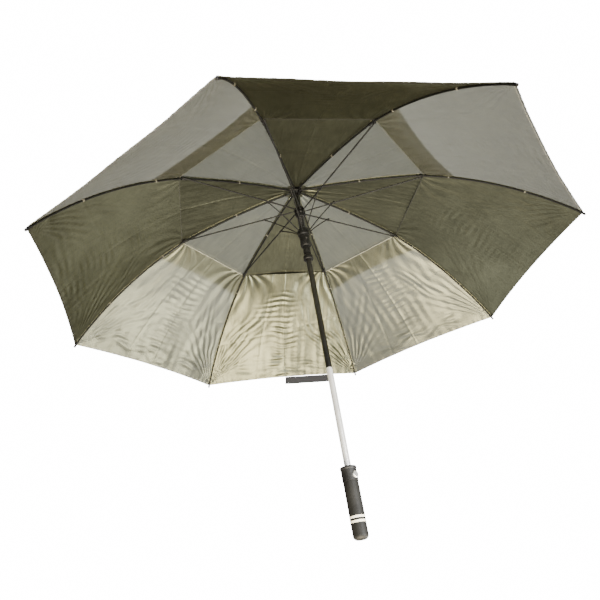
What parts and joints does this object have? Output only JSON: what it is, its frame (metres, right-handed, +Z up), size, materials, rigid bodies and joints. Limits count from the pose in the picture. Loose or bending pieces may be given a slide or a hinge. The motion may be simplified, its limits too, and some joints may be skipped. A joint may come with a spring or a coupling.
{
  "type": "golf umbrella",
  "caption": "Open double-canopy golf umbrella with straight grip, coil-spring opening runner and fold-down ribs, stretchers and struts.",
  "frame": {"origin": "on the shaft's axis inside the grip, 30 mm below the grip's top edge", "axes": "+Z up the shaft towards the canopy; rib 1 points along -Y, rib 3 along +X, and the button faces 35 degrees from +X towards -Y"},
  "size_m": [1.306, 1.306, 0.9574],
  "materials": {
    "black_tube": "satin",
    "silver_tube": "satin",
    "black_plastic": "satin",
    "collar_plastic": "matte",
    "spring_steel": "satin",
    "grip_foam": "matte",
    "pale_ring": "satin",
    "button_metal": "satin",
    "black_rod": "satin",
    "dark_cloth": "silver-coated underside",
    "pale_cloth": "silver-coated underside",
    "strap_cloth": "woven"
  },
  "bodies": {
    "frame": {"upper_shaft": "black_tube", "lower_shaft": "silver_tube", "top_notch": "black_plastic", "ferrule": "black_plastic", "grip": "grip_foam", "grip_bands": "pale_ring", "handle_collar": "collar_plastic"},
    "runner": {"runner": "black_plastic", "opening_spring": "spring_steel"},
    "push_sleeve": {"push_sleeve": "black_plastic"},
    "button": {"button": "button_metal"},
    "rib_1": {"rib_inner_1": "black_rod", "upper_panel_1": "dark_cloth"},
    "rib_end_1": {"rib_outer_1": "black_rod", "lower_panel_1": "dark_cloth"},
    "stretcher_1": {"stretcher_1": "black_rod"},
    "strut_1": {"strut_1": "black_rod"},
    "rib_2": {"rib_inner_2": "black_rod", "upper_panel_2": "pale_cloth"},
    "rib_end_2": {"rib_outer_2": "black_rod", "lower_panel_2": "pale_cloth"},
    "stretcher_2": {"stretcher_2": "black_rod"},
    "strut_2": {"strut_2": "black_rod"},
    "rib_3": {"rib_inner_3": "black_rod", "upper_panel_3": "dark_cloth"},
    "rib_end_3": {"rib_outer_3": "black_rod", "lower_panel_3": "dark_cloth"},
    "stretcher_3": {"stretcher_3": "black_rod"},
    "strut_3": {"strut_3": "black_rod"},
    "rib_4": {"rib_inner_4": "black_rod", "upper_panel_4": "pale_cloth"},
    "rib_end_4": {"rib_outer_4": "black_rod", "lower_panel_4": "pale_cloth"},
    "stretcher_4": {"stretcher_4": "black_rod"},
    "strut_4": {"strut_4": "black_rod"},
    "rib_5": {"rib_inner_5": "black_rod", "upper_panel_5": "dark_cloth"},
    "rib_end_5": {"rib_outer_5": "black_rod", "lower_panel_5": "dark_cloth", "closure_strap": "strap_cloth"},
    "stretcher_5": {"stretcher_5": "black_rod"},
    "strut_5": {"strut_5": "black_rod"},
    "rib_6": {"rib_inner_6": "black_rod", "upper_panel_6": "pale_cloth"},
    "rib_end_6": {"rib_outer_6": "black_rod", "lower_panel_6": "pale_cloth"},
    "stretcher_6": {"stretcher_6": "black_rod"},
    "strut_6": {"strut_6": "black_rod"},
    "rib_7": {"rib_inner_7": "black_rod", "upper_panel_7": "dark_cloth"},
    "rib_end_7": {"rib_outer_7": "black_rod", "lower_panel_7": "dark_cloth"},
    "stretcher_7": {"stretcher_7": "black_rod"},
    "strut_7": {"strut_7": "black_rod"},
    "rib_8": {"rib_inner_8": "black_rod", "upper_panel_8": "pale_cloth"},
    "rib_end_8": {"rib_outer_8": "black_rod", "lower_panel_8": "pale_cloth"},
    "stretcher_8": {"stretcher_8": "black_rod"},
    "strut_8": {"strut_8": "black_rod"}
  },
  "joints": [
    {"name": "runner_slide", "type": "slide", "parent": "frame", "child": "runner", "axis": [0, 0, 1], "range_m": [-0.57414, 0], "stiffness_N_per_m": 25, "springref_m": 0.6, "deforming": ["opening_spring", "upper_panel_1", "upper_panel_2", "upper_panel_3", "upper_panel_4", "upper_panel_5", "upper_panel_6", "upper_panel_7", "upper_panel_8", "lower_panel_1", "lower_panel_2", "lower_panel_3", "lower_panel_4", "lower_panel_5", "lower_panel_6", "lower_panel_7", "lower_panel_8", "closure_strap"]},
    {"name": "sleeve_slide", "type": "slide", "parent": "frame", "child": "push_sleeve", "axis": [0, 0, 1], "range_m": [-0.5305, 0]},
    {"name": "button_press", "type": "slide", "parent": "frame", "child": "button", "axis": [0.8192, -0.5736, 0], "range_m": [-0.0025, 0], "stiffness_N_per_m": 800, "springref_m": 0.002},
    {"name": "rib_hinge_1", "type": "hinge", "parent": "frame", "child": "rib_1", "pos_m": [0, -0.012, 0.808], "axis": [-1, 0, 0], "range_deg": [-78, 0]},
    {"name": "rib_flex_1", "type": "hinge", "parent": "rib_1", "child": "rib_end_1", "pos_m": [0, -0.33, 0.745], "axis": [-1, 0, 0], "range_deg": [0, 24.5]},
    {"name": "stretcher_hinge_1", "type": "hinge", "parent": "runner", "child": "stretcher_1", "pos_m": [0.0049, -0.012, 0.74], "axis": [-1, 0, 0], "range_deg": [0, 88.3]},
    {"name": "strut_hinge_1", "type": "hinge", "parent": "push_sleeve", "child": "strut_1", "pos_m": [0.0009, -0.013, 0.67], "axis": [-1, 0, 0], "range_deg": [0, 48.6]},
    {"name": "rib_hinge_2", "type": "hinge", "parent": "frame", "child": "rib_2", "pos_m": [0.00848, -0.00848, 0.808], "axis": [-0.7071, -0.7071, 0], "range_deg": [-78, 0]},
    {"name": "rib_flex_2", "type": "hinge", "parent": "rib_2", "child": "rib_end_2", "pos_m": [0.23334, -0.23334, 0.745], "axis": [-0.7071, -0.7071, 0], "range_deg": [0, 24.5]},
    {"name": "stretcher_hinge_2", "type": "hinge", "parent": "runner", "child": "stretcher_2", "pos_m": [0.01195, -0.00502, 0.74], "axis": [-0.7071, -0.7071, 0], "range_deg": [0, 88.3]},
    {"name": "strut_hinge_2", "type": "hinge", "parent": "push_sleeve", "child": "strut_2", "pos_m": [0.00983, -0.00856, 0.67], "axis": [-0.7071, -0.7071, 0], "range_deg": [0, 48.6]},
    {"name": "rib_hinge_3", "type": "hinge", "parent": "frame", "child": "rib_3", "pos_m": [0.012, 0, 0.808], "axis": [0, -1, 0], "range_deg": [-78, 0]},
    {"name": "rib_flex_3", "type": "hinge", "parent": "rib_3", "child": "rib_end_3", "pos_m": [0.33, 0, 0.745], "axis": [0, -1, 0], "range_deg": [0, 24.5]},
    {"name": "stretcher_hinge_3", "type": "hinge", "parent": "runner", "child": "stretcher_3", "pos_m": [0.012, 0.0049, 0.74], "axis": [0, -1, 0], "range_deg": [0, 88.3]},
    {"name": "strut_hinge_3", "type": "hinge", "parent": "push_sleeve", "child": "strut_3", "pos_m": [0.013, 0.0009, 0.67], "axis": [0, -1, 0], "range_deg": [0, 48.6]},
    {"name": "rib_hinge_4", "type": "hinge", "parent": "frame", "child": "rib_4", "pos_m": [0.00848, 0.00848, 0.808], "axis": [0.7071, -0.7071, 0], "range_deg": [-78, 0]},
    {"name": "rib_flex_4", "type": "hinge", "parent": "rib_4", "child": "rib_end_4", "pos_m": [0.23334, 0.23334, 0.745], "axis": [0.7071, -0.7071, 0], "range_deg": [0, 24.5]},
    {"name": "stretcher_hinge_4", "type": "hinge", "parent": "runner", "child": "stretcher_4", "pos_m": [0.00502, 0.01195, 0.74], "axis": [0.7071, -0.7071, 0], "range_deg": [0, 88.3]},
    {"name": "strut_hinge_4", "type": "hinge", "parent": "push_sleeve", "child": "strut_4", "pos_m": [0.00856, 0.00983, 0.67], "axis": [0.7071, -0.7071, 0], "range_deg": [0, 48.6]},
    {"name": "rib_hinge_5", "type": "hinge", "parent": "frame", "child": "rib_5", "pos_m": [0, 0.012, 0.808], "axis": [1, 0, 0], "range_deg": [-78, 0]},
    {"name": "rib_flex_5", "type": "hinge", "parent": "rib_5", "child": "rib_end_5", "pos_m": [0, 0.33, 0.745], "axis": [1, 0, 0], "range_deg": [0, 24.5]},
    {"name": "stretcher_hinge_5", "type": "hinge", "parent": "runner", "child": "stretcher_5", "pos_m": [-0.0049, 0.012, 0.74], "axis": [1, 0, 0], "range_deg": [0, 88.3]},
    {"name": "strut_hinge_5", "type": "hinge", "parent": "push_sleeve", "child": "strut_5", "pos_m": [-0.0009, 0.013, 0.67], "axis": [1, 0, 0], "range_deg": [0, 48.6]},
    {"name": "rib_hinge_6", "type": "hinge", "parent": "frame", "child": "rib_6", "pos_m": [-0.00848, 0.00848, 0.808], "axis": [0.7071, 0.7071, 0], "range_deg": [-78, 0]},
    {"name": "rib_flex_6", "type": "hinge", "parent": "rib_6", "child": "rib_end_6", "pos_m": [-0.23334, 0.23334, 0.745], "axis": [0.7071, 0.7071, 0], "range_deg": [0, 24.5]},
    {"name": "stretcher_hinge_6", "type": "hinge", "parent": "runner", "child": "stretcher_6", "pos_m": [-0.01195, 0.00502, 0.74], "axis": [0.7071, 0.7071, 0], "range_deg": [0, 88.3]},
    {"name": "strut_hinge_6", "type": "hinge", "parent": "push_sleeve", "child": "strut_6", "pos_m": [-0.00983, 0.00856, 0.67], "axis": [0.7071, 0.7071, 0], "range_deg": [0, 48.6]},
    {"name": "rib_hinge_7", "type": "hinge", "parent": "frame", "child": "rib_7", "pos_m": [-0.012, 0, 0.808], "axis": [0, 1, 0], "range_deg": [-78, 0]},
    {"name": "rib_flex_7", "type": "hinge", "parent": "rib_7", "child": "rib_end_7", "pos_m": [-0.33, 0, 0.745], "axis": [0, 1, 0], "range_deg": [0, 24.5]},
    {"name": "stretcher_hinge_7", "type": "hinge", "parent": "runner", "child": "stretcher_7", "pos_m": [-0.012, -0.0049, 0.74], "axis": [0, 1, 0], "range_deg": [0, 88.3]},
    {"name": "strut_hinge_7", "type": "hinge", "parent": "push_sleeve", "child": "strut_7", "pos_m": [-0.013, -0.0009, 0.67], "axis": [0, 1, 0], "range_deg": [0, 48.6]},
    {"name": "rib_hinge_8", "type": "hinge", "parent": "frame", "child": "rib_8", "pos_m": [-0.00848, -0.00848, 0.808], "axis": [-0.7071, 0.7071, 0], "range_deg": [-78, 0]},
    {"name": "rib_flex_8", "type": "hinge", "parent": "rib_8", "child": "rib_end_8", "pos_m": [-0.23334, -0.23334, 0.745], "axis": [-0.7071, 0.7071, 0], "range_deg": [0, 24.5]},
    {"name": "stretcher_hinge_8", "type": "hinge", "parent": "runner", "child": "stretcher_8", "pos_m": [-0.00502, -0.01195, 0.74], "axis": [-0.7071, 0.7071, 0], "range_deg": [0, 88.3]},
    {"name": "strut_hinge_8", "type": "hinge", "parent": "push_sleeve", "child": "strut_8", "pos_m": [-0.00856, -0.00983, 0.67], "axis": [-0.7071, 0.7071, 0], "range_deg": [0, 48.6]}
  ],
  "couplings": [
    {"joint": "sleeve_slide", "follows": "runner_slide", "ratio": 0.9232},
    {"joint": "rib_hinge_1", "follows": "runner_slide", "rad_per_m": 2.3684},
    {"joint": "rib_flex_1", "follows": "runner_slide", "rad_per_m": -0.73794},
    {"joint": "stretcher_hinge_1", "follows": "runner_slide", "rad_per_m": -2.6811},
    {"joint": "strut_hinge_1", "follows": "runner_slide", "rad_per_m": -1.4741},
    {"joint": "rib_hinge_2", "follows": "runner_slide", "rad_per_m": 2.3684},
    {"joint": "rib_flex_2", "follows": "runner_slide", "rad_per_m": -0.73794},
    {"joint": "stretcher_hinge_2", "follows": "runner_slide", "rad_per_m": -2.6811},
    {"joint": "strut_hinge_2", "follows": "runner_slide", "rad_per_m": -1.4741},
    {"joint": "rib_hinge_3", "follows": "runner_slide", "rad_per_m": 2.3684},
    {"joint": "rib_flex_3", "follows": "runner_slide", "rad_per_m": -0.73794},
    {"joint": "stretcher_hinge_3", "follows": "runner_slide", "rad_per_m": -2.6811},
    {"joint": "strut_hinge_3", "follows": "runner_slide", "rad_per_m": -1.4741},
    {"joint": "rib_hinge_4", "follows": "runner_slide", "rad_per_m": 2.3684},
    {"joint": "rib_flex_4", "follows": "runner_slide", "rad_per_m": -0.73794},
    {"joint": "stretcher_hinge_4", "follows": "runner_slide", "rad_per_m": -2.6811},
    {"joint": "strut_hinge_4", "follows": "runner_slide", "rad_per_m": -1.4741},
    {"joint": "rib_hinge_5", "follows": "runner_slide", "rad_per_m": 2.3684},
    {"joint": "rib_flex_5", "follows": "runner_slide", "rad_per_m": -0.73794},
    {"joint": "stretcher_hinge_5", "follows": "runner_slide", "rad_per_m": -2.6811},
    {"joint": "strut_hinge_5", "follows": "runner_slide", "rad_per_m": -1.4741},
    {"joint": "rib_hinge_6", "follows": "runner_slide", "rad_per_m": 2.3684},
    {"joint": "rib_flex_6", "follows": "runner_slide", "rad_per_m": -0.73794},
    {"joint": "stretcher_hinge_6", "follows": "runner_slide", "rad_per_m": -2.6811},
    {"joint": "strut_hinge_6", "follows": "runner_slide", "rad_per_m": -1.4741},
    {"joint": "rib_hinge_7", "follows": "runner_slide", "rad_per_m": 2.3684},
    {"joint": "rib_flex_7", "follows": "runner_slide", "rad_per_m": -0.73794},
    {"joint": "stretcher_hinge_7", "follows": "runner_slide", "rad_per_m": -2.6811},
    {"joint": "strut_hinge_7", "follows": "runner_slide", "rad_per_m": -1.4741},
    {"joint": "rib_hinge_8", "follows": "runner_slide", "rad_per_m": 2.3684},
    {"joint": "rib_flex_8", "follows": "runner_slide", "rad_per_m": -0.73794},
    {"joint": "stretcher_hinge_8", "follows": "runner_slide", "rad_per_m": -2.6811},
    {"joint": "strut_hinge_8", "follows": "runner_slide", "rad_per_m": -1.4741}
  ]
}
